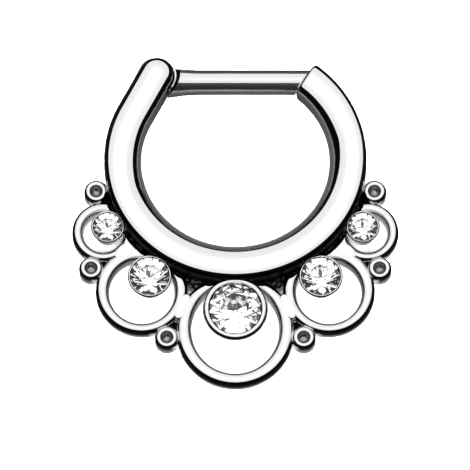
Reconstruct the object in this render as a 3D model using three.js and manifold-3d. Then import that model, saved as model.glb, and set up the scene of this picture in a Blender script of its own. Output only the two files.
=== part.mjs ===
// Hinged septum ring, lying on its back: X runs across the wearer's nose, Y up the face, Z out to the front.
// The origin is the middle of the underside. Lengths are in millimetres and angles in degrees.
import * as THREE from "three";
import { ConvexGeometry } from "three/addons/geometries/ConvexGeometry.js";
import { mergeVertices } from "three/addons/utils/BufferGeometryUtils.js";
import Module from "manifold-3d";

// Ring: the line that runs along the middle of the metal, and the section swept along it.
const ringHalfWidth = 5.44;
const ringHalfHeight = 5.2;
const ringWidth = 1.8;
const ringDepth = 1.8;
const ringInnerRoundness = 2;
const ringOuterRoundness = 4;
const hingeArmAngle = 156;
const hingeArmLength = 2.44;
const freeEndAngle = 50.5;
const freeEndLean = 4;
const freeEndOverrun = 6;

// Hinge: a knuckle on the left arm, slotted for the bar's tongue, with a blind pin from the back.
const knuckleRadius = 0.925;
const knuckleRoundness = 3;
const pinRadius = 0.25;
const pinCap = 0.3;
const tongueThickness = 0.6;
const tongueRadius = 0.8;
const neckBury = 0.4;
const hingeClearance = 0.05;
const pinClearance = 0.03;
const pinInset = 0.1;

// Bar: 16 gauge, flared where it meets the knuckle.
const barRadius = 0.6;
const barDrop = 0.34;
const shoulderGap = 0.32;
const flareRadius = 0.76;
const flareLength = 1.1;
const tipLength = 0.6;
const tipThickness = 0.55;
const tipHeight = 0.7;
const catchClearance = 0.06;
const catchDepth = 0.72;

// Lace: five loops under the ring, six discs and a thin web, cast in one with the ring.
const laceThickness = 0.9;
const laceEdge = 0.22;
const webThickness = 0.45;
const webReach = 0.45;
// A loop is a round plate with an oval hole. It is buried in the ring and merges with the loop before it.
const loopSizes = {
  centre: { outer: 2.85, holeWide: 2.12, holeTall: 2.22, holeLift: 0.06, bury: 0.57 },
  mid: { outer: 2.22, holeWide: 1.58, holeTall: 1.58, holeLift: -0.08, bury: 0.61, merge: 0.15 },
  small: { outer: 1.49, holeWide: 0.96, holeTall: 0.96, holeLift: -0.02, bury: 0.43, merge: 0.26 },
};
// The next loop lies outward from the one before it and a little further up.
const nextLoop = { out: 1, up: 0.5 };
const discRadius = 0.58;
const discHeight = 1;
const discRim = 0.3;
const dimpleDepth = 0.22;
// A disc is sunk into its notch, and lies outward and up or down from the pair of outlines that it touches.
const discPlaces = {
  upper: { between: ["ring", "small"], sink: 0.04, out: 1, up: 3 },
  lower: { between: ["small", "mid"], sink: 0.14, out: 1, up: -0.5 },
  bottom: { between: ["mid", "centre"], sink: 0.11, out: 1, up: -3 },
};

// Cups and cut stones.
const stoneClearance = 0.03;
const cupTaper = 0.3;
const cupFloor = 0.35;
const rimRounding = 0.4;
const pocketShare = 0.6;
const pocketStraight = 0.35;
const stoneSizes = {
  centre: { radius: 1.25, wall: 0.29, rimHeight: 1.5, seat: 0.17 },
  mid: { radius: 0.93, wall: 0.1, rimHeight: 1.38, seat: 0.08 },
  small: { radius: 0.69, wall: 0.09, rimHeight: 1.36, seat: 0.08 },
};
// A brilliant cut. The shares are of the stone's radius.
const facetCount = 8;
const stoneSink = 0.08;
const tableShare = 0.56;
const starShare = 0.8;
const crownShare = 0.3;
const girdleShare = 0.06;
const culetShare = 0.3;

// Fineness of the curved faces.
const ringSteps = 42;
const sectionSides = 16;
const knuckleSteps = 8;
const knuckleSides = 28;
const hingeSides = 48;
const barSides = 20;
const flareSteps = 6;
const loopSides = 32;
const edgeSteps = 2;
const discSides = 16;
const webSteps = 36;
const cupSides = 24;

// How far a cutting tool stands past what it cuts, and how close points are welded.
const cutMargin = 1;
const weldDistance = 1e-4;

const wasm = await Module();
wasm.setup();

const halfDepth = ringDepth / 2;
const halfRingWidth = ringWidth / 2;
const radians = THREE.MathUtils.degToRad;
// How far a round corner's middle lies inside the sharp one, as a share of its radius.
const cornerShare = 1 - Math.SQRT1_2;

// A closed geometry as a solid for joining and cutting.
function solidOf(geometry) {
  const bare = geometry.clone();
  bare.deleteAttribute("normal");
  bare.deleteAttribute("uv");
  const merged = mergeVertices(bare, weldDistance);
  return new wasm.Manifold(
    new wasm.Mesh({
      numProp: 3,
      vertProperties: merged.attributes.position.array,
      triVerts: new Uint32Array(merged.index.array),
    }),
  );
}

function joined(solids) {
  return solids.reduce((whole, next) => whole.add(next));
}

function namedMesh(name, solid, material) {
  const mesh = solid.getMesh();
  const geometry = new THREE.BufferGeometry();
  geometry.setAttribute("position", new THREE.BufferAttribute(mesh.vertProperties, 3));
  geometry.setIndex(new THREE.BufferAttribute(mesh.triVerts, 1));
  geometry.computeVertexNormals();
  const part = new THREE.Mesh(geometry, material);
  part.name = name;
  return part;
}

// A turned solid whose axis is parallel to Z. The profile runs from the underside up, away from the axis first.
function turned(profile, sides, centre = { x: 0, y: 0 }) {
  const points = profile.map(([radius, height]) => new THREE.Vector2(radius, height));
  const geometry = new THREE.LatheGeometry(points, sides);
  geometry.rotateX(Math.PI / 2);
  geometry.translate(centre.x, centre.y, 0);
  return solidOf(geometry);
}

function disc(centre, radius, low, high, sides) {
  return turned([[0, low], [radius, low], [radius, high], [0, high]], sides, centre);
}

// A flat outline raised from one height to another.
function raised(corners, low, high) {
  const shape = new THREE.Shape(corners.map(({ x, y }) => new THREE.Vector2(x, y)));
  const geometry = new THREE.ExtrudeGeometry(shape, { depth: high - low, bevelEnabled: false });
  geometry.translate(0, 0, low);
  return solidOf(geometry);
}

function rectangle(left, low, right, high) {
  return [
    { x: left, y: low },
    { x: right, y: low },
    { x: right, y: high },
    { x: left, y: high },
  ];
}

// Where two circles cross; of the two crossings, the one further along (side.x, side.y).
function crossing(a, b, side) {
  const apart = Math.hypot(b.x - a.x, b.y - a.y);
  const along = (apart ** 2 + a.reach ** 2 - b.reach ** 2) / (2 * apart);
  const across = Math.sqrt(Math.max(0, a.reach ** 2 - along ** 2));
  const ux = (b.x - a.x) / apart;
  const uy = (b.y - a.y) / apart;
  return [1, -1]
    .map((sign) => ({ x: a.x + ux * along - uy * across * sign, y: a.y + uy * along + ux * across * sign }))
    .sort((p, q) => (q.x - p.x) * side.x + (q.y - p.y) * side.y)[0];
}

// Ring

function ringPoint(angle) {
  return { x: ringHalfWidth * Math.cos(radians(angle)), y: ringHalfHeight * Math.sin(radians(angle)) };
}

function ringTangent(angle) {
  const x = -ringHalfWidth * Math.sin(radians(angle));
  const y = ringHalfHeight * Math.cos(radians(angle));
  return { x: x / Math.hypot(x, y), y: y / Math.hypot(x, y) };
}

const armRoot = ringPoint(hingeArmAngle);
const armLine = ringTangent(hingeArmAngle);
const pin = { x: armRoot.x - armLine.x * hingeArmLength, y: armRoot.y - armLine.y * hingeArmLength };
const freeEnd = ringPoint(freeEndAngle);

// The line from the pin down the straight arm and round the ring, and a little past the free end, where it is cut.
class RingLine extends THREE.Curve {
  getPoint(share, target = new THREE.Vector3()) {
    const sweep = 360 + freeEndAngle + freeEndOverrun - hingeArmAngle;
    const arcLength = radians(sweep) * (ringHalfWidth + ringHalfHeight) / 2;
    const armShare = hingeArmLength / (hingeArmLength + arcLength);
    if (share < armShare) {
      const down = share / armShare;
      return target.set(
        pin.x + (armRoot.x - pin.x) * down,
        pin.y + (armRoot.y - pin.y) * down,
        halfDepth,
      );
    }
    const point = ringPoint(hingeArmAngle + (sweep * (share - armShare)) / (1 - armShare));
    return target.set(point.x, point.y, halfDepth);
  }
}

// A superellipse quadrant pair: round towards the nose, squarer on the outside.
function ringSection() {
  const points = [];
  for (let i = 0; i < sectionSides; i++) {
    const turn = (2 * Math.PI * i) / sectionSides;
    const power = 2 / (Math.cos(turn) > 0 ? ringOuterRoundness : ringInnerRoundness);
    const outward = halfRingWidth * Math.sign(Math.cos(turn)) * Math.abs(Math.cos(turn)) ** power;
    const forward = halfDepth * Math.sign(Math.sin(turn)) * Math.abs(Math.sin(turn)) ** power;
    points.push(new THREE.Vector2(-forward, -outward));
  }
  return new THREE.Shape(points);
}

// The free end's flat face, as a point on it and the way it looks.
const endLook = (() => {
  const tangent = ringTangent(freeEndAngle);
  const turn = Math.atan2(tangent.y, tangent.x) + radians(freeEndLean);
  return { x: Math.cos(turn), y: Math.sin(turn) };
})();

// A block that fills one side of the end face's plane, set off from it along the way that it looks.
function beyondEnd(offset, size, width, low, high) {
  const across = { x: -endLook.y, y: endLook.x };
  const corner = (along, aside) => ({
    x: freeEnd.x + endLook.x * (offset + along) + across.x * aside,
    y: freeEnd.y + endLook.y * (offset + along) + across.y * aside,
  });
  const [near, far] = size > 0 ? [0, size] : [size, 0];
  const corners = [corner(near, -width), corner(far, -width), corner(far, width), corner(near, width)];
  return raised(corners, low, high);
}

function ringSolid() {
  const extrudePath = new RingLine();
  const geometry = new THREE.ExtrudeGeometry(ringSection(), { steps: ringSteps, extrudePath });
  return solidOf(geometry).subtract(beyondEnd(0, ringWidth, ringWidth, -cutMargin, ringDepth + cutMargin));
}

function knuckleSolid() {
  const profile = [];
  for (let i = 0; i <= knuckleSteps; i++) {
    const turn = (Math.PI * i) / knuckleSteps - Math.PI / 2;
    const power = 2 / knuckleRoundness;
    profile.push([
      i === 0 || i === knuckleSteps ? 0 : knuckleRadius * Math.cos(turn) ** power,
      halfDepth + halfDepth * Math.sign(turn) * Math.abs(Math.sin(turn)) ** power,
    ]);
  }
  return turned(profile, knuckleSides, pin);
}

// Bar: everything is measured from the pin, the knuckle and the free end.

const barY = pin.y - barDrop;
const shoulderRadius = knuckleRadius + shoulderGap;
const tongueLow = halfDepth - tongueThickness / 2;
const tongueHigh = halfDepth + tongueThickness / 2;
const barEndX = freeEnd.x - ((barY - freeEnd.y) * endLook.y) / endLook.x;

function barSolid() {
  const left = pin.x + shoulderRadius / 2;
  const right = barEndX + ringWidth;
  const profile = [[0, left]];
  for (let i = 0; i <= flareSteps; i++) {
    const fade = i / flareSteps;
    profile.push([
      barRadius + (flareRadius - barRadius) * (1 - fade) ** 2,
      left + fade * (flareLength + shoulderRadius / 2),
    ]);
  }
  profile.push([barRadius, right], [0, right]);
  const points = profile.map(([radius, x]) => new THREE.Vector2(radius, x));
  const geometry = new THREE.LatheGeometry(points, barSides);
  geometry.rotateZ(-Math.PI / 2);
  geometry.translate(0, barY, halfDepth);
  const round = solidOf(geometry)
    .subtract(disc(pin, shoulderRadius, -cutMargin, ringDepth + cutMargin, hingeSides))
    .subtract(beyondEnd(catchClearance, -2 * ringWidth, 2 * ringWidth, -cutMargin, ringDepth + cutMargin));
  const neckEnd = pin.x + shoulderRadius + neckBury;
  const tongue = joined([
    disc(pin, tongueRadius, tongueLow, tongueHigh, barSides),
    raised(rectangle(pin.x, barY - barRadius / 2, neckEnd, pin.y + barRadius / 2), tongueLow, tongueHigh),
  ]);
  const tip = raised(
    rectangle(barEndX - tipLength, barY - tipHeight / 2, barEndX + tipLength, barY + tipHeight / 2),
    halfDepth - tipThickness / 2,
    halfDepth + tipThickness / 2,
  );
  const pinHole = disc(pin, pinRadius + pinClearance, -cutMargin, ringDepth + cutMargin, barSides);
  return joined([round, tongue, tip]).subtract(pinHole);
}

// The slots that the bar's tongue and tip turn in, and the pin's blind hole.
function hingeCuts() {
  const slot = disc(
    pin,
    knuckleRadius + hingeClearance,
    tongueLow - hingeClearance,
    tongueHigh + hingeClearance,
    hingeSides,
  );
  const pinHole = disc(pin, pinRadius + pinClearance, -cutMargin, ringDepth - pinCap, barSides);
  const slotFloor = barY - tipHeight / 2 - catchClearance;
  const catchSlot = raised(
    rectangle(barEndX - ringWidth, slotFloor, barEndX + catchDepth, barY + ringWidth),
    halfDepth - tipThickness / 2 - catchClearance,
    halfDepth + tipThickness / 2 + catchClearance,
  );
  return [slot, pinHole, catchSlot];
}

function pinSolid() {
  return disc(pin, pinRadius, pinInset, ringDepth - pinCap - pinClearance, barSides);
}

// Lace: each loop stands on the ring and leans on the one before it.

const meanRing = (ringHalfWidth + ringHalfHeight) / 2;

function ringReach(size) {
  return halfRingWidth + size.outer - size.bury;
}

function placeLoops(side) {
  const { centre, mid, small } = loopSizes;
  const centreLoop = { x: 0, y: -ringHalfHeight - ringReach(centre) };
  const next = (before, beforeSize, size) =>
    crossing(
      { x: 0, y: 0, reach: meanRing + ringReach(size) },
      { ...before, reach: beforeSize.outer + size.outer - size.merge },
      { x: side * nextLoop.out, y: nextLoop.up },
    );
  const midLoop = next(centreLoop, centre, mid);
  return { centre: centreLoop, mid: midLoop, small: next(midLoop, mid, small) };
}

const sides = { left: -1, right: 1 };
const loops = { left: placeLoops(sides.left), right: placeLoops(sides.right) };

function ellipse(place, size, ease) {
  const path = new THREE.Path();
  const middle = place.y + size.holeLift;
  path.absellipse(place.x, middle, size.holeWide + ease, size.holeTall + ease, 0, 2 * Math.PI);
  return path;
}

function loopSolid(place, size) {
  const shape = new THREE.Shape();
  shape.absarc(place.x, place.y, size.outer - laceEdge, 0, 2 * Math.PI);
  shape.holes.push(ellipse(place, size, laceEdge));
  const geometry = new THREE.ExtrudeGeometry(shape, {
    depth: laceThickness - 2 * laceEdge,
    bevelThickness: laceEdge,
    bevelSize: laceEdge,
    bevelSegments: edgeSteps,
    curveSegments: loopSides / 2,
  });
  geometry.translate(0, 0, laceEdge);
  return solidOf(geometry);
}

function loopHole(place, size) {
  const shape = new THREE.Shape(ellipse(place, size, 0).getPoints(loopSides / 2));
  const depth = laceThickness + 2 * cutMargin;
  const geometry = new THREE.ExtrudeGeometry(shape, { depth, bevelEnabled: false });
  geometry.translate(0, 0, -cutMargin);
  return solidOf(geometry);
}

// A disc nests where two round outlines meet, and the notch behind it is filled with web.
function nestedDisc(a, b, sink, side) {
  const stand = discRadius - sink;
  const centre = crossing({ ...a, reach: a.reach + stand }, { ...b, reach: b.reach + stand }, side);
  const meet = crossing(a, b, side);
  const towards = (from) => {
    const far = Math.hypot(centre.x - from.x, centre.y - from.y);
    const share = (from.reach - laceEdge) / far;
    return { x: from.x + (centre.x - from.x) * share, y: from.y + (centre.y - from.y) * share };
  };
  return { centre, notch: [centre, towards(a), meet, towards(b)] };
}

function outline(place, size) {
  return { x: place.x, y: place.y, reach: size.outer };
}

function placeDiscs(sideName) {
  const outlines = { ring: { x: 0, y: 0, reach: ringHalfWidth + halfRingWidth } };
  for (const [row, size] of Object.entries(loopSizes)) outlines[row] = outline(loops[sideName][row], size);
  return Object.values(discPlaces).map(({ between, sink, out, up }) => {
    const [first, second] = between.map((name) => outlines[name]);
    return nestedDisc(first, second, sink, { x: sides[sideName] * out, y: up });
  });
}

function discSolid({ centre }) {
  const dimple = discRadius - discRim;
  return turned(
    [
      [0, 0],
      [discRadius - laceEdge, 0],
      [discRadius, laceEdge],
      [discRadius, discHeight - laceEdge],
      [discRadius - laceEdge * cornerShare, discHeight - laceEdge * cornerShare],
      [discRadius - laceEdge, discHeight],
      [dimple, discHeight],
      [dimple * Math.SQRT1_2, discHeight - dimpleDepth * Math.SQRT1_2],
      [0, discHeight - dimpleDepth],
    ],
    discSides,
    centre,
  );
}

function notchSolid({ notch }) {
  const turn = THREE.ShapeUtils.area(notch) > 0 ? notch : [...notch].reverse();
  return raised(turn, 0, webThickness);
}

// The web follows the ring's outside from one upper disc round to the other.
function webSolid(upperDisc) {
  const end = Math.atan2(Math.abs(upperDisc.x), -upperDisc.y);
  const corners = [];
  const row = (reach, from, to) => {
    for (let i = 0; i <= webSteps; i++) {
      const turn = from + ((to - from) * i) / webSteps;
      corners.push({
        x: (ringHalfWidth + reach) * Math.sin(turn),
        y: -(ringHalfHeight + reach) * Math.cos(turn),
      });
    }
  };
  row(halfRingWidth + webReach, -end, end);
  row(0, end, -end);
  return raised(corners, 0, webThickness);
}

// Cups: each sits against the ring, on the line from the ring's middle through its loop.

function cupPlace(loopPlace, size) {
  const turn = Math.atan2(loopPlace.y / ringHalfHeight, loopPlace.x / ringHalfWidth);
  const foot = ringPoint(THREE.MathUtils.radToDeg(turn));
  const far = Math.hypot(loopPlace.x - foot.x, loopPlace.y - foot.y);
  const reach = halfRingWidth + size.radius + size.wall + stoneClearance - size.seat;
  return {
    x: foot.x + ((loopPlace.x - foot.x) * reach) / far,
    y: foot.y + ((loopPlace.y - foot.y) * reach) / far,
  };
}

function cupSolid(place, size) {
  const outside = size.radius + stoneClearance + size.wall;
  const round = Math.min(size.wall * rimRounding, laceEdge);
  return turned(
    [
      [0, 0],
      [outside * (1 - cupTaper), 0],
      [outside, size.rimHeight - round],
      [outside - round * cornerShare, size.rimHeight - round * cornerShare],
      [outside - round, size.rimHeight],
      [0, size.rimHeight],
    ],
    cupSides,
    place,
  );
}

// The stone's pocket is straight round the girdle and narrows to the cup's floor.
function pocketSolid(place, size) {
  const pocket = size.radius + stoneClearance;
  return turned(
    [
      [0, cupFloor],
      [pocket * pocketShare, cupFloor],
      [pocket, size.rimHeight - size.radius * pocketStraight],
      [pocket, size.rimHeight + cutMargin],
      [0, size.rimHeight + cutMargin],
    ],
    cupSides,
    place,
  );
}

// A cut stone: an eight-sided table, crown facets, a thin girdle, and a pavilion cut off flat over the cup's floor.
// The star points lie on the planes of the kites, which run from the table's corners to the girdle.
function stoneSolid(place, size) {
  const girdle = size.rimHeight - size.radius * stoneSink;
  const crown = size.radius * crownShare;
  const starFall = (1 - starShare * Math.cos(Math.PI / facetCount)) / (1 - tableShare);
  const floor = cupFloor + 2 * stoneClearance;
  const points = [];
  const ring = (count, radius, height, offset = 0) => {
    for (let i = 0; i < count; i++) {
      const turn = (2 * Math.PI * (i + offset)) / count;
      points.push(
        new THREE.Vector3(place.x + radius * Math.cos(turn), place.y + radius * Math.sin(turn), height),
      );
    }
  };
  ring(facetCount, size.radius * tableShare, girdle + crown);
  ring(facetCount, size.radius * starShare, girdle + crown * starFall, 0.5);
  ring(facetCount * 2, size.radius, girdle);
  ring(facetCount * 2, size.radius, girdle - size.radius * girdleShare);
  ring(facetCount, size.radius * culetShare, floor);
  return solidOf(new ConvexGeometry(points));
}

// Finishes

const polishedSteel = new THREE.MeshStandardMaterial({ color: 0xd9dadb, metalness: 1, roughness: 0.08 });
const brushedSteel = new THREE.MeshStandardMaterial({ color: 0xbcbdbf, metalness: 1, roughness: 0.22 });
const clearStone = new THREE.MeshStandardMaterial({ color: 0xf2f5f7, metalness: 0, roughness: 0.02 });

const septumRing = new THREE.Group();

// Cast frame: ring, knuckle, lace, discs, web and cups are one piece of metal.

const discs = Object.fromEntries(Object.keys(sides).map((name) => [name, placeDiscs(name)]));
const settings = [
  { name: "centre_stone", place: cupPlace(loops.left.centre, stoneSizes.centre), size: stoneSizes.centre },
];
for (const side of Object.keys(sides))
  for (const row of ["mid", "small"])
    settings.push({
      name: side + "_" + row + "_stone",
      place: cupPlace(loops[side][row], stoneSizes[row]),
      size: stoneSizes[row],
    });

const loopList = [{ place: loops.left.centre, size: loopSizes.centre }];
for (const side of Object.keys(sides))
  for (const row of ["mid", "small"]) loopList.push({ place: loops[side][row], size: loopSizes[row] });

const allDiscs = [...discs.left, ...discs.right];
let web = joined([webSolid(discs.left[0].centre), ...allDiscs.map(notchSolid)]);
for (const { place, size } of loopList) web = web.subtract(loopHole(place, size));

let castFrame = joined([
  ringSolid(),
  knuckleSolid(),
  web,
  ...loopList.map(({ place, size }) => loopSolid(place, size)),
  ...allDiscs.map(discSolid),
  ...settings.map(({ place, size }) => cupSolid(place, size)),
]);
for (const { place, size } of settings) castFrame = castFrame.subtract(pocketSolid(place, size));
for (const cut of hingeCuts()) castFrame = castFrame.subtract(cut);

septumRing.add(namedMesh("cast_frame", castFrame, polishedSteel));
septumRing.add(namedMesh("hinge_bar", barSolid(), brushedSteel));
septumRing.add(namedMesh("hinge_pin", pinSolid(), brushedSteel));
for (const { name, place, size } of settings)
  septumRing.add(namedMesh(name, stoneSolid(place, size), clearStone));

// The origin is the middle of the whole part's underside.
const box = new THREE.Box3().setFromObject(septumRing);
septumRing.position.set(-(box.min.x + box.max.x) / 2, -(box.min.y + box.max.y) / 2, -box.min.z);

const assembly = new THREE.Group();
assembly.add(septumRing);

export default assembly;
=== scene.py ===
from math import atan2, cos, degrees, hypot, pi, radians, sin

import bmesh
import bpy
from mathutils import Matrix, Vector


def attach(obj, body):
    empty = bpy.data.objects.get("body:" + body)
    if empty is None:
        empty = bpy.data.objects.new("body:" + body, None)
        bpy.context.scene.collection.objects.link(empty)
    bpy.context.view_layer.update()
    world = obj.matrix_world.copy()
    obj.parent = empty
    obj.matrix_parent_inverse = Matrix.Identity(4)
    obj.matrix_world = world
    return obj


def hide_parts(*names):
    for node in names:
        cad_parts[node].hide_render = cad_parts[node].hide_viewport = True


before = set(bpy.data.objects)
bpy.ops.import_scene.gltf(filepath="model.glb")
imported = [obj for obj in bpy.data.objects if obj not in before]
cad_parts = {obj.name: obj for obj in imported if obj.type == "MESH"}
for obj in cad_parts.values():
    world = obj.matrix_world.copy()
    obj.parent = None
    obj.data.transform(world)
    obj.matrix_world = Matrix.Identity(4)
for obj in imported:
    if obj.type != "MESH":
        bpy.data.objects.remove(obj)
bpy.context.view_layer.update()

mm = 0.001
# a step too small to see, and a length beyond every piece, in millimetres
hair, beyond = 0.01, 10

# Pieces are made in millimetres round the middle of the ring, with the back at z = 0,
# and moved to the frame's metres when they are done.
ringMiddle = Vector((0, 3.0071, 0))


def linear(hexColour):
    # sRGB hex to the linear colour that Blender works in
    channels = [int(hexColour[i:i + 2], 16) / 255 for i in (1, 3, 5)]
    return [c / 12.92 if c <= 0.04045 else ((c + 0.055) / 1.055) ** 2.4 for c in channels] + [1]


def addNode(tree, kind, settings=None, links=None):
    # settings and links go to a property or input by its name or number
    node = tree.nodes.new(kind)
    for name, value in (settings or {}).items():
        if isinstance(name, str) and hasattr(node, name):
            setattr(node, name, value)
        else:
            node.inputs[name].default_value = value
    for name, socket in (links or {}).items():
        tree.links.new(socket, node.inputs[name])
    return node


def setStops(ramp, stops):
    # the colour ramp's stops as (place, linear colour)
    elements = ramp.color_ramp.elements
    while len(elements) < len(stops):
        elements.new(0.5)
    for element, (place, colour) in zip(elements, stops):
        element.position = place
        element.color = colour


def newMaterial(name):
    material = bpy.data.materials.new(name)
    material.use_nodes = True
    material.node_tree.nodes.clear()
    return material, material.node_tree


def finishMaterial(tree, shader):
    addNode(tree, "ShaderNodeOutputMaterial", {}, {"Surface": shader.outputs[0]})


def newPiece(bm, name, materials=()):
    bmesh.ops.recalc_face_normals(bm, faces=bm.faces)
    mesh = bpy.data.meshes.new(name)
    bm.to_mesh(mesh)
    bm.free()
    for material in materials:
        mesh.materials.append(material)
    piece = bpy.data.objects.new(name, mesh)
    bpy.context.scene.collection.objects.link(piece)
    return piece


def applyModifiers(piece):
    graph = bpy.context.evaluated_depsgraph_get()
    graph.update()
    made = bpy.data.meshes.new_from_object(piece.evaluated_get(graph))
    old = piece.data
    piece.modifiers.clear()
    piece.data = made
    bpy.data.meshes.remove(old)


def combine(piece, tools, operation):
    # one exact boolean with several tools, applied at once; the tools are used up
    holder = bpy.data.collections.new("tools")
    bpy.context.scene.collection.children.link(holder)
    for tool in tools:
        holder.objects.link(tool)
    modifier = piece.modifiers.new("combine", "BOOLEAN")
    modifier.operation = operation
    modifier.operand_type = "COLLECTION"
    modifier.collection = holder
    modifier.solver = "EXACT"
    applyModifiers(piece)
    for tool in tools:
        bpy.data.objects.remove(tool)
    bpy.data.collections.remove(holder)
    return piece


def smoothByAngle(piece, angle):
    piece.data.shade_smooth()
    piece.data.set_sharp_from_angle(angle=radians(angle))
    return piece


def settle(piece, body, nodes):
    # from millimetres round the ring's middle to the frame's metres
    piece.data.transform(Matrix.Scale(mm, 4) @ Matrix.Translation(ringMiddle))
    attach(piece, body)
    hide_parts(*nodes)


def raiseFaces(bm, height):
    side = bmesh.ops.extrude_face_region(bm, geom=list(bm.faces))
    top = [v for v in side["geom"] if isinstance(v, bmesh.types.BMVert)]
    bmesh.ops.translate(bm, vec=(0, 0, height), verts=top)


def prism(corners, low, high, name="tool"):
    # a flat outline raised from one height to another
    bm = bmesh.new()
    bm.faces.new([bm.verts.new((x, y, low)) for x, y in corners])
    raiseFaces(bm, high - low)
    return newPiece(bm, name)


def roundPlate(centre, wide, tall, low, high, sides, name="tool"):
    bm = bmesh.new()
    bmesh.ops.create_circle(bm, cap_ends=True, segments=sides, radius=1)
    bmesh.ops.scale(bm, vec=(wide, tall, 1), verts=bm.verts)
    bmesh.ops.translate(bm, vec=(centre[0], centre[1], low), verts=bm.verts)
    raiseFaces(bm, high - low)
    return newPiece(bm, name)


def drum(centre, radius, low, high, sides=96, name="tool"):
    return roundPlate(centre, radius, radius, low, high, sides, name)


def spinProfile(profile, centre, sides, name="tool"):
    # a profile of (distance from the axis, height) turned round a vertical axis; its ends lie on the axis
    bm = bmesh.new()
    verts = [bm.verts.new((radius, 0, height)) for radius, height in profile]
    edges = [bm.edges.new(pair) for pair in zip(verts, verts[1:])]
    bmesh.ops.spin(bm, geom=verts + edges, cent=(0, 0, 0), axis=(0, 0, 1), angle=2 * pi,
                   steps=sides, use_merge=True, use_duplicate=False)
    bmesh.ops.remove_doubles(bm, verts=bm.verts, dist=1e-4)
    bmesh.ops.translate(bm, vec=(centre[0], centre[1], 0), verts=bm.verts)
    return newPiece(bm, name)


def quarter(steps):
    # the sines and cosines of a quarter turn, for rounded edges
    return [(sin(pi / 2 * i / steps), cos(pi / 2 * i / steps)) for i in range(steps + 1)]


def loft(rows, sides, closed, name="tool"):
    # ellipses of (middle, half width, half height, level), each extruded from the one before
    bm = bmesh.new()
    bmesh.ops.create_circle(bm, cap_ends=False, segments=sides, radius=1)
    edges = list(bm.edges)
    last = ((0, 0), 1, 1, 0)
    for i, row in enumerate(list(rows) + ([rows[0]] if closed else [])):
        if i:
            made = bmesh.ops.extrude_edge_only(bm, edges=edges)["geom"]
            edges = [g for g in made if isinstance(g, bmesh.types.BMEdge)]
        verts = list({v for e in edges for v in e.verts})
        bmesh.ops.translate(bm, vec=(-last[0][0], -last[0][1], row[3] - last[3]), verts=verts)
        bmesh.ops.scale(bm, vec=(row[1] / last[1], row[2] / last[2], 1), verts=verts)
        bmesh.ops.translate(bm, vec=(row[0][0], row[0][1], 0), verts=verts)
        last = row
    if closed:
        bmesh.ops.remove_doubles(bm, verts=bm.verts, dist=1e-5)
    else:
        bmesh.ops.holes_fill(bm, edges=[e for e in bm.edges if e.is_boundary], sides=0)
    return newPiece(bm, name)


# Camera: the photo's angle, from so far that nothing narrows with distance.
view = {
    "elevation": 74,
    "lookAt": (-0.0145, -0.668, 0.9),
    "frameWidth": 22.65,
    "distance": 600,
}

lookAt = Vector(view["lookAt"]) * mm
away = Vector((0, -cos(radians(view["elevation"])), sin(radians(view["elevation"]))))
cameraData = bpy.data.cameras.new("camera")
cameraData.sensor_width = 36
cameraData.lens = 36 * view["distance"] / view["frameWidth"]
cameraData.clip_start = 0.005
cameraData.clip_end = 20
camera = bpy.data.objects.new("camera", cameraData)
camera.location = lookAt + away * view["distance"] * mm
camera.rotation_euler = away.to_track_quat("Z", "Y").to_euler()
bpy.context.scene.collection.objects.link(camera)
bpy.context.scene.camera = camera
bpy.context.scene.view_settings.view_transform = "Standard"
bpy.context.scene.view_settings.look = "None"

# Studio: the polished steel mirrors a round white tent, brightest over the part, with black round its rim.
# The levels are linear; the stops are angles from the tent's middle and from its bright spot.
studio = {
    "tentLean": 29,
    "tentLevel": 1.3,
    "tentStops": [(0, 1.0), (46, 1.0), (48.5, 0.003), (180, 0.003)],
    "spotLean": 16,
    "spotStops": [(0, 1.0), (5, 0.99), (10, 0.9), (18, 0.83), (40, 0.8)],
    "glassLean": 16,
    "glassLevel": 1.9,
    "glassStops": [(0, 1.0), (31, 1.0), (35, 0.08), (42, 0.03), (180, 0.02)],
    "softLight": 10.0,
    "paper": 1.0,
    "floorSize": 0.6,
    "floorColour": "#F2F2F2",
    # levels of the painted reflection that the paper glows with for mirror rays
    "paintedFloorReflection": 0.012,
    "paintedRingReflection": (0.25, 0.05),
    "middleReach": (4.2, 4.6),
    "paintedFootLight": 1.1,
    "footReach": 0.35,
}

world = bpy.data.worlds.new("studio")
bpy.context.scene.world = world
world.use_nodes = True
tree = world.node_tree
tree.nodes.clear()
direction = addNode(tree, "ShaderNodeTexCoord")


def roundLevels(lean, stops):
    # levels by the angle from a line that leans this far back from straight up
    middle = (0, sin(radians(lean)), cos(radians(lean)))
    towards = addNode(tree, "ShaderNodeVectorMath", {"operation": "DOT_PRODUCT", 1: middle},
                      {0: direction.outputs["Generated"]})
    angle = addNode(tree, "ShaderNodeMath", {"operation": "ARCCOSINE"}, {0: towards.outputs["Value"]})
    share = addNode(tree, "ShaderNodeMapRange", {"From Max": pi}, {"Value": angle.outputs[0]})
    ramp = addNode(tree, "ShaderNodeValToRGB", {}, {"Fac": share.outputs["Result"]})
    setStops(ramp, [(turn / 180, (level, level, level, 1)) for turn, level in stops])
    return ramp.outputs["Color"]


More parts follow.
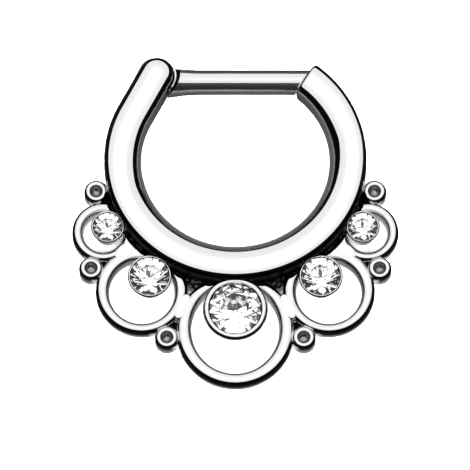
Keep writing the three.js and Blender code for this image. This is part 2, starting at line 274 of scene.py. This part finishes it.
tent = addNode(tree, "ShaderNodeVectorMath", {"operation": "MULTIPLY"},
               {0: roundLevels(studio["tentLean"], studio["tentStops"]),
                1: roundLevels(studio["spotLean"], studio["spotStops"])})
rays = addNode(tree, "ShaderNodeLightPath")
metalLight = addNode(tree, "ShaderNodeBackground", {"Strength": studio["tentLevel"]},
                     {"Color": tent.outputs[0]})
glassLight = addNode(tree, "ShaderNodeBackground", {"Strength": studio["glassLevel"]},
                     {"Color": roundLevels(studio["glassLean"], studio["glassStops"])})
mirrored = addNode(tree, "ShaderNodeMixShader", {}, {
    0: rays.outputs["Is Transmission Ray"], 1: metalLight.outputs[0], 2: glassLight.outputs[0]})
soft = addNode(tree, "ShaderNodeBackground", {"Strength": studio["softLight"], "Color": (1, 1, 1, 1)})
paper = addNode(tree, "ShaderNodeBackground", {"Strength": studio["paper"], "Color": (1, 1, 1, 1)})
lit = addNode(tree, "ShaderNodeMixShader", {},
              {0: rays.outputs["Is Diffuse Ray"], 1: mirrored.outputs[0], 2: soft.outputs[0]})
seen = addNode(tree, "ShaderNodeMixShader", {},
               {0: rays.outputs["Is Camera Ray"], 1: lit.outputs[0], 2: paper.outputs[0]})
addNode(tree, "ShaderNodeOutputWorld", {}, {"Surface": seen.outputs[0]})

bm = bmesh.new()
bmesh.ops.create_grid(bm, x_segments=1, y_segments=1, size=studio["floorSize"])
bmesh.ops.translate(bm, vec=(0, 0, -hair * mm), verts=bm.verts)
# white paper; to mirror rays it glows with a painted reflection instead: dark, grey inside the ring and light
# close to the metal's foot
material, tree = newMaterial("paper_floor_painted_reflection")
paperWhite = addNode(tree, "ShaderNodeBsdfDiffuse", {"Color": linear(studio["floorColour"])})
place = addNode(tree, "ShaderNodeTexCoord")
reach = addNode(tree, "ShaderNodeVectorMath", {"operation": "DISTANCE", 1: ringMiddle * mm},
                {0: place.outputs["Object"]})
along = addNode(tree, "ShaderNodeSeparateXYZ", {}, {0: place.outputs["Object"]})
nearest, farthest = studio["middleReach"]
inside = addNode(tree, "ShaderNodeMapRange", {
    "From Min": (ringMiddle.y - nearest) * mm, "From Max": (ringMiddle.y + nearest) * mm,
    "To Min": studio["paintedRingReflection"][0], "To Max": studio["paintedRingReflection"][1]},
                 {"Value": along.outputs["Y"]})
level = addNode(tree, "ShaderNodeMapRange", {
    "From Min": nearest * mm, "From Max": farthest * mm, "To Max": studio["paintedFloorReflection"]},
                {"Value": reach.outputs["Value"], "To Min": inside.outputs["Result"]})
# painted light: the paper's glow in the mirror is raised where the metal's foot shuts it in
openness = addNode(tree, "ShaderNodeAmbientOcclusion", {"samples": 6, "Distance": studio["footReach"] * mm})
foot = addNode(tree, "ShaderNodeMapRange", {"From Min": 1.0, "From Max": 0.0, "To Max": studio["paintedFootLight"]},
               {"Value": openness.outputs["AO"]})
paintedReflectionLevel = addNode(tree, "ShaderNodeMath", {"operation": "ADD"},
                   {0: level.outputs["Result"], 1: foot.outputs["Result"]})
paintedReflection = addNode(tree, "ShaderNodeEmission", {}, {"Strength": paintedReflectionLevel.outputs[0]})
rays = addNode(tree, "ShaderNodeLightPath")
finishMaterial(tree, addNode(tree, "ShaderNodeMixShader", {}, {
    0: rays.outputs["Is Glossy Ray"], 1: paperWhite.outputs[0], 2: paintedReflection.outputs[0]}))
newPiece(bm, "floor", [material])
print("studio and camera ready")

# The grain sizes are in millimetres, and the pairs are the least and the most.
finish = {
    "steel": "#E6E7E8",
    "steelRoughness": (0.0315, 0.063),
    "steelWave": 1.4,
    "steelMarks": 0.05,
    "wire": "#F0F0F1",
    "wireRoughness": (0.042, 0.098),
    "wireLines": 0.06,
    "wireStretch": 0.04,
    "wireHaze": 0.22,
    "satinAndShade": "#A6A7A9",
    "satinRoughness": (0.12, 0.3),
    "satinGrain": 0.1,
    # painted shade: the near-black under the cast grain stands for the groove's shade
    "paintedGrooveShade": "#141416",
    "castGrain": "#828385",
    "castSize": 0.14,
    "castRoughness": 0.38,
    # near-black painted shade for the ring's side over the groove, the bar's neck and the skins behind the
    # discs
    "paintedShadeColour": "#0C0C0D",
    "recessRoughness": (0.35, 0.6),
    "recessGrain": 0.08,
    "stone": "#FFFFFF",
    "stoneIndex": 1.6,
    "foil": "#F3F4F5",
    "foilRoughness": (0.01, 0.06),
    "foilPatch": 0.3,
}


def objectPlace(tree):
    return addNode(tree, "ShaderNodeTexCoord").outputs["Object"]


def noise(tree, place, size, detail):
    return addNode(tree, "ShaderNodeTexNoise", {"Scale": 1 / (size * mm), "Detail": detail},
                   {"Vector": place}).outputs["Fac"]


def between(tree, value, levels):
    return addNode(tree, "ShaderNodeMapRange", {"To Min": levels[0], "To Max": levels[1]},
                   {"Value": value}).outputs["Result"]


def bumps(tree, value, strength, depth):
    return addNode(tree, "ShaderNodeBump", {"Strength": strength, "Distance": depth * mm},
                   {"Height": value}).outputs[0]


def metal(tree, colour, links):
    return addNode(tree, "ShaderNodeBsdfPrincipled", {"Base Color": linear(colour), "Metallic": 1.0}, links)


def polishedSteel():
    # cast surgical steel, polished to a mirror: faint waves bend the reflections, polish marks soften them
    material, tree = newMaterial("polished_cast_steel")
    place = objectPlace(tree)
    wave, marks = noise(tree, place, finish["steelWave"], 1.0), noise(tree, place, finish["steelMarks"], 3.0)
    finishMaterial(tree, metal(tree, finish["steel"], {
        "Roughness": between(tree, marks, finish["steelRoughness"]), "Normal": bumps(tree, wave, 0.3, 0.01)}))
    return material


def castGrainInShade():
    # the sunk places between the loops keep their as-cast skin, dull and grainy; the near-black under the
    # grain is painted shade in the groove
    material, tree = newMaterial("as_cast_steel_in_painted_shade")
    grain = noise(tree, objectPlace(tree), finish["castSize"], 3.0)
    tone = addNode(tree, "ShaderNodeValToRGB", {}, {"Fac": grain})
    setStops(tone, [(0.5, linear(finish["paintedGrooveShade"])), (0.66, linear(finish["castGrain"]))])
    finishMaterial(tree, addNode(
        tree, "ShaderNodeBsdfPrincipled", {"Metallic": 1.0, "Roughness": finish["castRoughness"]},
        {"Base Color": tone.outputs["Color"], "Normal": bumps(tree, grain, 0.8, 0.04)}))
    return material


def satinSteelAndShade():
    # the bowls of the discs, tumbled but never buffed, a soft satin that shows which way they face; its
    # darker grey is painted shade in the hollow
    material, tree = newMaterial("tumbled_satin_steel_painted_shade")
    grain = noise(tree, objectPlace(tree), finish["satinGrain"], 2.0)
    finishMaterial(tree, metal(tree, finish["satinAndShade"], {
        "Roughness": between(tree, grain, finish["satinRoughness"]),
        "Normal": bumps(tree, grain, 0.7, 0.03)}))
    return material


def paintedShadeSteel():
    # the side of the ring over the groove, left unpolished, in near-black: painted shade
    material, tree = newMaterial("painted_shade_black")
    grain = noise(tree, objectPlace(tree), finish["recessGrain"], 2.0)
    finishMaterial(tree, metal(tree, finish["paintedShadeColour"], {
        "Roughness": between(tree, grain, finish["recessRoughness"])}))
    return material


def drawnSteel():
    # drawn wire, lightly polished: a mirror under a thin haze, with fine lines along the bar
    material, tree = newMaterial("drawn_steel_wire")
    along = addNode(tree, "ShaderNodeMapping", {"Scale": (finish["wireStretch"], 1, 1)},
                    {"Vector": objectPlace(tree)})
    lines = noise(tree, along.outputs[0], finish["wireLines"], 3.0)
    mirror = metal(tree, finish["wire"], {
        "Roughness": between(tree, lines, finish["wireRoughness"]), "Normal": bumps(tree, lines, 0.2, 0.004)})
    haze = metal(tree, finish["wire"], {})
    haze.inputs["Roughness"].default_value = 0.6
    finishMaterial(tree, addNode(tree, "ShaderNodeMixShader", {0: finish["wireHaze"]},
                                 {1: mirror.outputs[0], 2: haze.outputs[0]}))
    return material


def cutGlass():
    # clear cut glass of high index, with sharp bright facets
    material, tree = newMaterial("cut_glass")
    finishMaterial(tree, addNode(tree, "ShaderNodeBsdfPrincipled", {
        "Base Color": linear(finish["stone"]), "Roughness": 0.0, "IOR": finish["stoneIndex"],
        "Transmission Weight": 1.0}))
    return material


def mirrorFoil():
    # the silvered back of the stone, which throws the light back through the facets
    material, tree = newMaterial("mirror_foil")
    patch = noise(tree, objectPlace(tree), finish["foilPatch"], 2.0)
    finishMaterial(tree, metal(tree, finish["foil"], {
        "Roughness": between(tree, patch, finish["foilRoughness"])}))
    return material


castingFinishes = [polishedSteel(), castGrainInShade(), paintedShadeSteel(), satinSteelAndShade()]
polished, castGrainShade, paintedShade, satinAndShade = range(len(castingFinishes))
barSteel, glass, foil = drawnSteel(), cutGlass(), mirrorFoil()
print("finishes ready")

ring = {
    "halfWidth": 5.44,
    "halfHeight": 5.2,
    "half": 0.9,
    "outerRoundness": 5.5,
    "innerRoundness": 2,
    "endRoundness": 3.3,
    "endEase": 42,
    "armAngle": 156,
    "armLength": 2.44,
    "endAngle": 51.6,
    "endLean": 4,
    "slotRadius": 1.13,
    "knuckleReach": 0.87,
    "headShift": (0.15, -0.06),
    "recessTop": 1.7,
    "recessFrom": -1.5,
    "endRounding": 0.2,
    "endSteps": 7,
    "endReach": 2.7,
    "sectionSides": 112,
    "steps": 190,
    "spare": 5,
    "headSteps": 56,
}
half = ring["half"]


def ringPoint(angle):
    return Vector((ring["halfWidth"] * cos(radians(angle)), ring["halfHeight"] * sin(radians(angle)), 0))


def ringTangent(angle):
    across, up = -ring["halfWidth"] * sin(radians(angle)), ring["halfHeight"] * cos(radians(angle))
    return Vector((across, up, 0)).normalized()


def sectionPoint(turn, roundness):
    # a superellipse, taken where its surface faces the given way; the rounding keeps its four poles exact
    level, rise = round(cos(turn), 5), round(sin(turn), 5)
    power = 1 / (roundness - 1)
    across, up = abs(level) ** power, abs(rise) ** power
    size = (across ** roundness + up ** roundness) ** (1 / roundness)
    return across / size * (1 if level >= 0 else -1), up / size * (1 if rise >= 0 else -1)


armRoot = ringPoint(ring["armAngle"])
armLine = -ringTangent(ring["armAngle"])
armOutward = Vector((-armLine.y, armLine.x, 0))
pin = armRoot + armLine * ring["armLength"]
head = pin + Vector((*ring["headShift"], 0))
armSpan = head - armRoot
freeEnd = ringPoint(ring["endAngle"])
endTangent = ringTangent(ring["endAngle"])
endLook = Matrix.Rotation(radians(ring["endLean"]), 3, "Z") @ endTangent


def roundnessAt(angle, outside):
    # the inside is half round and the outside squarer, and they even out towards both ends
    fromEnd = min(abs(angle - ring["endAngle"]), abs(angle % 360 - ring["armAngle"]))
    plain = ring["outerRoundness"] if outside else ring["innerRoundness"]
    ease = max(0, 1 - fromEnd / ring["endEase"])
    return plain + (ring["endRoundness"] - plain) * ease


def sweepRing():
    # the section is spun round, then the round line is eased into the ring's own flatter one
    meanRadius = (ring["halfWidth"] + ring["halfHeight"]) / 2
    bm = bmesh.new()
    turnOf = bm.verts.layers.float.new("turn")
    section = bmesh.ops.create_circle(bm, cap_ends=False, segments=ring["sectionSides"], radius=1)["verts"]
    for vert in section:
        turn = atan2(vert.co.y, vert.co.x)
        roundness = ring["outerRoundness"] if cos(turn) > 1e-6 else ring["innerRoundness"]
        across, up = sectionPoint(turn, roundness)
        vert[turnOf] = turn
        vert.co = (meanRadius + half * across, 0, half + half * up)
    start = Matrix.Rotation(radians(ring["armAngle"]), 3, "Z")
    bmesh.ops.rotate(bm, cent=(0, 0, 0), matrix=start, verts=section)
    bmesh.ops.spin(bm, geom=section + list(bm.edges), cent=(0, 0, 0), axis=(0, 0, 1), use_duplicate=False,
                   steps=ring["steps"],
                   angle=radians(360 + ring["endAngle"] - ring["armAngle"] + ring["spare"]))
    for vert in bm.verts:
        angle = degrees(atan2(vert.co.y, vert.co.x))
        tangent = ringTangent(angle)
        outward = Vector((tangent.y, -tangent.x, 0))
        across, up = sectionPoint(vert[turnOf], roundnessAt(angle, cos(vert[turnOf]) > 1e-6))
        spot = ringPoint(angle) + outward * half * across
        vert.co = (spot.x, spot.y, half + half * up)
    return bm, turnOf


def addArm(bm, turnOf):
    # the straight arm up to the knuckle's middle
    edges = [e for e in bm.edges if e.is_boundary
             and all((v.co - armRoot).dot(armLine) > -1e-3 and v.co.x < 0 for v in e.verts)]
    for length in (0.5, 0.5):
        made = bmesh.ops.extrude_edge_only(bm, edges=edges)["geom"]
        moved = [g for g in made if isinstance(g, bmesh.types.BMVert)]
        bmesh.ops.translate(bm, vec=armSpan * length, verts=moved)
        edges = [g for g in made if isinstance(g, bmesh.types.BMEdge)]
    # the outer half of its end turns round into the inner half
    outer = [e for e in edges if all(cos(v[turnOf]) > -1e-4 for v in e.verts)]
    outerVerts = list({v for e in outer for v in e.verts})
    before = set(bm.verts)
    bmesh.ops.spin(bm, geom=outerVerts + outer, cent=head, axis=(0, 0, -1), angle=pi, use_duplicate=False,
                   steps=ring["headSteps"])
    for vert in set(bm.verts) - before:
        out = Vector((vert.co.x - head.x, vert.co.y - head.y, 0))
        if out.length < 1e-5:
            continue
        across, up = sectionPoint(vert[turnOf], ring["endRoundness"])
        reach = half + (ring["knuckleReach"] - half) * sin(out.angle(armOutward))
        spot = head + out.normalized() * across * reach
        vert.co = (spot.x, spot.y, half + half * up)
    bmesh.ops.remove_doubles(bm, verts=bm.verts, dist=1e-4)


def cutFreeEnd(bm):
    # the free end's face, with its rim rounded over in steps
    rounding = ring["endRounding"]
    near = [f for f in bm.faces if (f.calc_center_median() - freeEnd).length < ring["endReach"]]
    near += list({e for f in near for e in f.edges}) + list({v for f in near for v in f.verts})
    bmesh.ops.bisect_plane(bm, geom=near, plane_co=freeEnd - endLook * rounding, plane_no=endLook,
                           clear_outer=True)
    edges = [e for e in bm.edges if e.is_boundary]
    lastMove, lastSize = 0, half
    for s, c in quarter(ring["endSteps"])[1:]:
        made = bmesh.ops.extrude_edge_only(bm, edges=edges)["geom"]
        edges = [g for g in made if isinstance(g, bmesh.types.BMEdge)]
        verts = list({v for e in edges for v in e.verts})
        move, size = rounding * s, half - rounding * (1 - c)
        bmesh.ops.translate(bm, vec=endLook * (move - lastMove), verts=verts)
        middle = freeEnd - endLook * (rounding - move) + Vector((0, 0, half))
        bmesh.ops.scale(bm, vec=Vector((1, 1, 1)) * size / lastSize, space=Matrix.Translation(-middle),
                        verts=verts)
        lastMove, lastSize = move, size
    bmesh.ops.holes_fill(bm, edges=edges, sides=0)


def paintShadeOnRecess(bm):
    # the side that looks down into the groove along the lace, painted black as shade
    for face in bm.faces:
        middle = face.calc_center_median()
        outside = hypot(middle.x / ring["halfWidth"], middle.y / ring["halfHeight"]) > 1
        if outside and middle.y < ring["recessFrom"] and middle.z < ring["recessTop"]:
            face.material_index = paintedShade


bm, turnOf = sweepRing()
addArm(bm, turnOf)
cutFreeEnd(bm)
paintShadeOnRecess(bm)
ringPiece = newPiece(bm, "ring", castingFinishes)
print("ring", len(ringPiece.data.polygons))

bar = {
    "radius": 0.6,
    "drop": 0.34,
    "shoulderRadius": 1.13,
    "neckRadius": 0.94,
    "knuckleSides": 160,
    "flareRadius": 0.76,
    "flareStart": 0.62,
    "flareLength": 1.72,
    "flareSteps": 30,
    "flareSpare": 0.18,
    "neckInset": 0.02,
    "neckThickness": 0.8,
    "tongueThickness": 0.6,
    "tongueRadius": 0.8,
    "tongueLength": 1.5,
    "tipLength": 0.6,
    "tipThickness": 0.55,
    "tipHeight": 0.7,
    "catchClearance": 0.06,
    "catchDepth": 0.72,
    "hingeClearance": 0.05,
    "pinClearance": 0.03,
    "pinRadius": 0.25,
    "pinLow": 0.1,
    "pinTop": 1.47,
    "pinCap": 0.3,
    "pinSides": 48,
}
barY = pin.y - bar["drop"]
barEndX = freeEnd.x - (barY - freeEnd.y) * endLook.y / endLook.x
tongueLow, tongueHigh = half - bar["tongueThickness"] / 2, half + bar["tongueThickness"] / 2
tipLow, tipHigh = half - bar["tipThickness"] / 2, half + bar["tipThickness"] / 2
# a cutting tool stands out this far under and over what it cuts
under, over = -1, 3


def rectangle(left, low, right, high):
    return [(left, low), (right, low), (right, high), (left, high)]


def block(start, along, length, left, right):
    # a rectangle laid along a direction, as wide to its left and right as given
    aside = Vector((-along.y, along.x, 0))
    corners = (start - aside * right, start + along * length - aside * right,
               start + along * length + aside * left, start + aside * left)
    return [tuple(corner.xy) for corner in corners]


def cutSlots():
    catch, hinge = bar["catchClearance"], bar["hingeClearance"]
    catchFloor = barY - bar["tipHeight"] / 2 - catch
    tools = [
        drum(pin, ring["slotRadius"], tongueLow - hinge, tongueHigh + hinge),
        drum(pin, bar["pinRadius"] + bar["pinClearance"], under, 2 * half - bar["pinCap"]),
        prism(rectangle(barEndX - 2 * half, catchFloor, barEndX + bar["catchDepth"], barY + 2 * half),
              tipLow - catch, tipHigh + catch),
    ]
    smoothByAngle(combine(ringPiece, tools, "DIFFERENCE"), 32)


cutSlots()
print("slots cut", len(ringPiece.data.polygons))


def turnedAlongBar(profile, name="tool"):
    piece = spinProfile(profile, (0, 0), 96, name)
    piece.data.transform(Matrix.Translation((0, barY, half)) @ Matrix.Rotation(pi / 2, 4, "Y"))
    return piece


def flare(inset, right):
    # the bar's round body, wider towards the knuckle
    start = pin.x + bar["flareStart"]
    profile = []
    for i in range(bar["flareSteps"] + 1):
        fade = -bar["flareSpare"] + (1 + bar["flareSpare"]) * i / bar["flareSteps"]
        profile.append((bar["radius"] + (bar["flareRadius"] - bar["radius"]) * (1 - fade) ** 2 - inset,
                        start + fade * bar["flareLength"]))
    return [(0, profile[0][1])] + profile + [(bar["radius"] - inset, right), (0, right)]


def armRoom():
    # what the closed bar keeps clear of along the arm
    clear = half + bar["hingeClearance"]
    return prism(block(head, -armSpan.normalized(), beyond, clear, clear), under, over)


def makeShaft():
    # the round bar with its flare, hollowed to the knuckle at one end and cut along the free end's face
    shaft = turnedAlongBar(flare(0, barEndX + 2 * half), "hinge_bar_visual")
    shaft.data.materials.append(barSteel)
    # its second finish is the painted shade black
    shaft.data.materials.append(castingFinishes[paintedShade])
    farSide = block(freeEnd + endLook * bar["catchClearance"], -endLook, beyond, beyond, beyond)
    tools = [
        drum(head, bar["shoulderRadius"], under, over, bar["knuckleSides"]),
        armRoom(),
        prism(farSide, under, over),
    ]
    return combine(shaft, tools, "DIFFERENCE")


def makeNeck():
    # the lower step between the shoulder and the knuckle, clear of the arm, given the painted shade black
    neck = turnedAlongBar(flare(bar["neckInset"], 0))
    neck.data.materials.append(castingFinishes[paintedShade])
    low, high = half - bar["neckThickness"] / 2, half + bar["neckThickness"] / 2
    everywhere = rectangle(-beyond, -beyond, beyond, beyond)
    tools = [
        drum(head, bar["neckRadius"], under, over, bar["knuckleSides"]),
        armRoom(),
        prism(everywhere, under, low),
        prism(everywhere, high, over),
    ]
    return combine(neck, tools, "DIFFERENCE")


def makeBar():
    shaft = makeShaft()
    inKnuckle = rectangle(pin.x, barY - bar["radius"] / 2,
                          pin.x + bar["tongueLength"], pin.y + bar["radius"] / 2)
    inCatch = rectangle(barEndX - bar["tipLength"], barY - bar["tipHeight"] / 2,
                        barEndX + bar["tipLength"], barY + bar["tipHeight"] / 2)
    parts = [
        makeNeck(),
        drum(pin, bar["tongueRadius"], tongueLow, tongueHigh),
        prism(inKnuckle, tongueLow, tongueHigh),
        prism(inCatch, tipLow, tipHigh),
    ]
    combine(shaft, parts, "UNION")
    combine(shaft, [drum(pin, bar["pinRadius"] + bar["pinClearance"], under, over)], "DIFFERENCE")
    settle(smoothByAngle(shaft, 30), "bar", ["hinge_bar"])
    return shaft


print("bar", len(makeBar().data.polygons))

lace = {
    "thickness": 0.9,
    "webThickness": 0.45,
    "webReach": 0.45,
    "webGap": 0.1,
    "webSides": 192,
    "loops": {
        "centre": {"at": (0, -8.38), "outer": 2.85, "wide": 2.12, "tall": 2.22,
                   "lift": 0.06, "edge": 0.28},
        "mid": {"at": (4.5056, -6.4038), "outer": 2.22, "wide": 1.58, "tall": 1.58,
                "lift": -0.08, "edge": 0.26},
        "small": {"at": (6.3796, -3.5071), "outer": 1.49, "wide": 0.96, "tall": 0.96,
                  "lift": -0.02, "edge": 0.24},
    },
    "grooveGap": 0.08,
    "grooveEdge": 0.22,
    "grooveSides": 256,
    "edgeSteps": 7,
    "sides": 128,
    "saddleEdge": 0.13,
    "saddleLift": 0.004,
    "saddleSteps": 5,
    "saddleSides": 48,
    "saddles": [
        {"at": (2.54, -7.24), "wide": 0.4, "tall": 0.72, "turn": 23.7},
        {"at": (5.24, -4.4), "wide": 0.42, "tall": 0.72, "turn": 57.1},
    ],
}
cups = {
    "centre": {"at": (0, -7.5), "radius": 1.25, "wall": 0.29, "rimHeight": 1.5, "edge": 0.19, "lip": 0.05},
    "mid": {"at": (4.1178, -5.8524), "radius": 0.93, "wall": 0.1, "rimHeight": 1.38, "edge": 0.09,
            "lip": 0.01},
    "small": {"at": (6.1442, -3.3776), "radius": 0.69, "wall": 0.09, "rimHeight": 1.36, "edge": 0.08,
              "lip": 0.01},
}
cupShape = {
    "clearance": 0.03,
    "taper": 0.3,
    "floor": 0.35,
    "pocketShare": 0.6,
    "pocketStraight": 0.35,
    "wellShare": 0.4,
    "edgeSteps": 10,
    "lipSteps": 3,
    "sides": 96,
}
discs = {
    "at": [(6.7134, -1.5047), (6.9486, -5.3513), (3.2927, -8.8048)],
    "radius": 0.58,
    "height": 1.0,
    "edge": 0.2,
    "dimpleRadius": 0.3,
    "dimpleDepth": 0.3,
    "dimpleLip": 0.04,
    "foot": 0.08,
    "edgeSteps": 10,
    "lipSteps": 4,
    "dimpleSteps": 12,
    "sides": 72,
}
# the thin skin behind each disc
notches = {"at": [(6.3, -1.75), (6.5, -5.15), (3.05, -8.35)], "radius": 0.42, "high": 0.68, "sides": 48}


def bothSides(at):
    return [at] if at[0] == 0 else [(-at[0], at[1]), at]


def everyPlace(rows):
    return [(at, row) for row in rows.values() for at in bothSides(row["at"])]


def loopPlate(at, row):
    # a round plate with an oval hole, its four edges rounded over
    hole = (at[0], at[1] + row["lift"])
    edge, high = row["edge"], lace["thickness"]
    arc = quarter(lace["edgeSteps"])
    outer, wide, tall = row["outer"] - edge, row["wide"] + edge, row["tall"] + edge
    rows = [(at, outer + edge * s, outer + edge * s, edge - edge * c) for s, c in arc]
    rows += [(at, outer + edge * c, outer + edge * c, high - edge + edge * s) for s, c in arc]
    rows += [(hole, wide - edge * s, tall - edge * s, high - edge + edge * c) for s, c in arc]
    rows += [(hole, wide - edge * c, tall - edge * c, edge - edge * s) for s, c in arc]
    return loft(rows, lace["sides"], True)


def makeSaddle(row, side):
    # fills the crease where two loops meet, a hair over them so that no two faces share a plane
    edge, high = lace["saddleEdge"], lace["thickness"] + lace["saddleLift"]
    wide, tall = row["wide"] - edge, row["tall"] - edge
    rows = [((0, 0), wide + edge, tall + edge, edge)]
    rows += [((0, 0), wide + edge * c, tall + edge * c, high - edge + edge * s)
             for s, c in quarter(lace["saddleSteps"])]
    piece = loft(rows, lace["saddleSides"], False)
    turn = Matrix.Rotation(radians(row["turn"]) * side, 4, "Z")
    piece.data.transform(Matrix.Translation((row["at"][0] * side, row["at"][1], 0)) @ turn)
    return piece


def makeLace():
    plates = [loopPlate(at, row) for at, row in everyPlace(lace["loops"])]
    plates += [makeSaddle(row, side) for row in lace["saddles"] for side in (-1, 1)]
    plate = plates[0]
    plate.name = "lace"
    combine(plate, plates[1:], "UNION")
    # the plate stops short of the ring in a rounded edge, which leaves a dark groove
    wall, edge, high = half + lace["grooveGap"], lace["grooveEdge"], lace["thickness"]
    rows = [(wall, under), (wall, high - edge)]
    rows += [(wall + edge - edge * c, high - edge + edge * s) for s, c in quarter(lace["edgeSteps"])]
    rows += [(wall + edge, over)]
    groove = loft([((0, 0), ring["halfWidth"] + r, ring["halfHeight"] + r, z) for r, z in rows],
                  lace["grooveSides"], False)
    combine(plate, [groove] + makeWells(), "DIFFERENCE")
    return smoothByAngle(plate, 32)


def makeWells():
    # room for the cups
    return [drum(at, row["radius"] + cupShape["clearance"] + row["wall"] * cupShape["wellShare"], under, over)
            for at, row in everyPlace(cups)]


def makeWeb():
    # the low skin of metal at the bottom of the gaps between the ring and the loops
    reach, high = half + lace["webReach"], lace["webThickness"]
    web = roundPlate((0, 0), ring["halfWidth"] + reach, ring["halfHeight"] + reach, 0, high,
                     lace["webSides"], "web")
    skins = [drum(at, notches["radius"], 0, notches["high"], notches["sides"])
             for spot in notches["at"] for at in bothSides(spot)]
    combine(web, skins, "UNION")
    top = discs["at"][0][1]
    tools = [
        roundPlate((0, 0), ring["halfWidth"], ring["halfHeight"], under, over, lace["webSides"]),
        prism(rectangle(-beyond, top, beyond, beyond), under, over),
    ]
    gap = lace["webGap"]
    tools += [roundPlate((at[0], at[1] + row["lift"]), row["wide"] + gap, row["tall"] + gap, under, over, 96)
              for at, row in everyPlace(lace["loops"])]
    combine(web, tools + makeWells(), "DIFFERENCE")
    # painted shade: the skins behind the discs take the shade black, the web's top the cast grain in painted
    # shade
    for face in web.data.polygons:
        face.material_index = paintedShade if face.center.z > high + hair else castGrainShade
    return web


def makeDisc(at):
    # a round stud with a bowl-shaped dimple
    radius, high, edge = discs["radius"], discs["height"], discs["edge"]
    dimple, depth, lip = discs["dimpleRadius"], discs["dimpleDepth"], discs["dimpleLip"]
    profile = [(0, 0), (radius - discs["foot"], 0), (radius, discs["foot"])]
    profile += [(radius - edge + edge * c, high - edge + edge * s) for s, c in quarter(discs["edgeSteps"])]
    profile += [(dimple + lip - lip * s, high - lip + lip * c) for s, c in quarter(discs["lipSteps"])]
    profile += [(dimple * c, high - lip - (depth - lip) * s) for s, c in quarter(discs["dimpleSteps"])[1:]]
    profile[-1] = (0, high - depth)
    piece = spinProfile(profile, at, discs["sides"])
    # the bowls take the satin finish, whose darker grey is painted shade in the hollow
    for face in piece.data.polygons:
        if hypot(face.center.x - at[0], face.center.y - at[1]) < dimple and face.center.z > 0:
            face.material_index = satinAndShade
    return smoothByAngle(piece, 40)


def makeCup(at, row):
    pocket = row["radius"] + cupShape["clearance"]
    outside, high, edge, lip = pocket + row["wall"], row["rimHeight"], row["edge"], row["lip"]
    profile = [(0, 0), (outside * (1 - cupShape["taper"]), 0)]
    profile += [(outside - edge + edge * c, high - edge + edge * s)
                for s, c in quarter(cupShape["edgeSteps"])]
    profile += [(pocket + lip - lip * s, high - lip + lip * c) for s, c in quarter(cupShape["lipSteps"])]
    profile += [(pocket, high - row["radius"] * cupShape["pocketStraight"]),
                (pocket * cupShape["pocketShare"], cupShape["floor"]), (0, cupShape["floor"])]
    return smoothByAngle(spinProfile(profile, at, cupShape["sides"]), 40)


casts = [ringPiece, makeLace(), makeWeb()]
print("lace and web", len(casts[1].data.polygons), len(casts[2].data.polygons))
casts += [makeDisc(at) for spot in discs["at"] for at in bothSides(spot)]
casts += [makeCup(at, row) for at, row in everyPlace(cups)]
bm = bmesh.new()
for cast in casts:
    bm.from_mesh(cast.data)
mesh = bpy.data.meshes.new("casting")
bm.to_mesh(mesh)
bm.free()
for cast in casts:
    bpy.data.objects.remove(cast)
casting = bpy.data.objects.new("casting_visual", mesh)
bpy.context.scene.collection.objects.link(casting)
for material in castingFinishes:
    casting.data.materials.append(material)
settle(casting, "casting", ["cast_frame"])
print("casting", len(casting.data.polygons))

pinPiece = drum(pin, bar["pinRadius"], bar["pinLow"], bar["pinTop"], bar["pinSides"], "hinge_pin_visual")
pinPiece.data.materials.append(barSteel)
settle(smoothByAngle(pinPiece, 30), "casting", ["hinge_pin"])

# The shares are of the stone's radius, and the turns are degrees.
cut = {
    "table": 0.56,
    "crown": 0.3,
    "star": 0.8,
    "girdle": 0.06,
    "pavilion": 0.82,
    "lower": 0.28,
    "culet": 0.05,
    "sink": 0.08,
    "floorGap": 0.06,
    "turns": {"centre": 8.6, "left": 17.2, "right": 5.7},
}


def makeStone(name, at, row, turn):
    # a brilliant cut: table, stars, kites, girdle halves, and a silvered pavilion
    radius = row["radius"]
    girdle = row["rimHeight"] - radius * cut["sink"]
    lowGirdle = girdle - radius * cut["girdle"]
    depth = min(radius * cut["pavilion"], lowGirdle - cupShape["floor"] - cut["floorGap"])
    slope = radius * cut["crown"] / (1 - cut["table"])
    drop = depth / (1 - cut["culet"])
    flat = cos(pi / 8)
    rows = [
        (8, cut["table"], girdle + radius * cut["crown"], 0),
        (8, cut["star"], girdle + slope * (1 - cut["star"] * flat), 0.5),
        (16, 1, girdle, 0),
        (16, 1, lowGirdle, 0),
        (8, cut["lower"], lowGirdle - drop * (1 - cut["lower"] * flat), 0.5),
        (8, cut["culet"], lowGirdle - drop * (1 - cut["culet"]), 0),
    ]
    bm = bmesh.new()
    for count, reach, height, offset in rows:
        place = Matrix.Translation((at[0], at[1], height))
        swing = Matrix.Rotation(radians(turn) + offset * 2 * pi / count, 4, "Z")
        bmesh.ops.create_circle(bm, cap_ends=False, segments=count, radius=radius * reach,
                                matrix=place @ swing)
    bmesh.ops.convex_hull(bm, input=bm.verts)
    bmesh.ops.delete(bm, geom=[e for e in bm.edges if not e.link_faces], context="EDGES")
    bmesh.ops.dissolve_limit(bm, angle_limit=radians(0.5), verts=bm.verts, edges=bm.edges)
    bmesh.ops.recalc_face_normals(bm, faces=bm.faces)
    for face in bm.faces:
        face.material_index = 1 if face.normal.z < -0.05 else 0
        face.smooth = False
    settle(newPiece(bm, name + "_visual", [glass, foil]), "casting", [name])


makeStone("centre_stone", cups["centre"]["at"], cups["centre"], cut["turns"]["centre"])
for size in ("mid", "small"):
    for side, at in zip(("left", "right"), bothSides(cups[size]["at"])):
        makeStone(side + "_" + size + "_stone", at, cups[size], cut["turns"][side])
print("stones set")
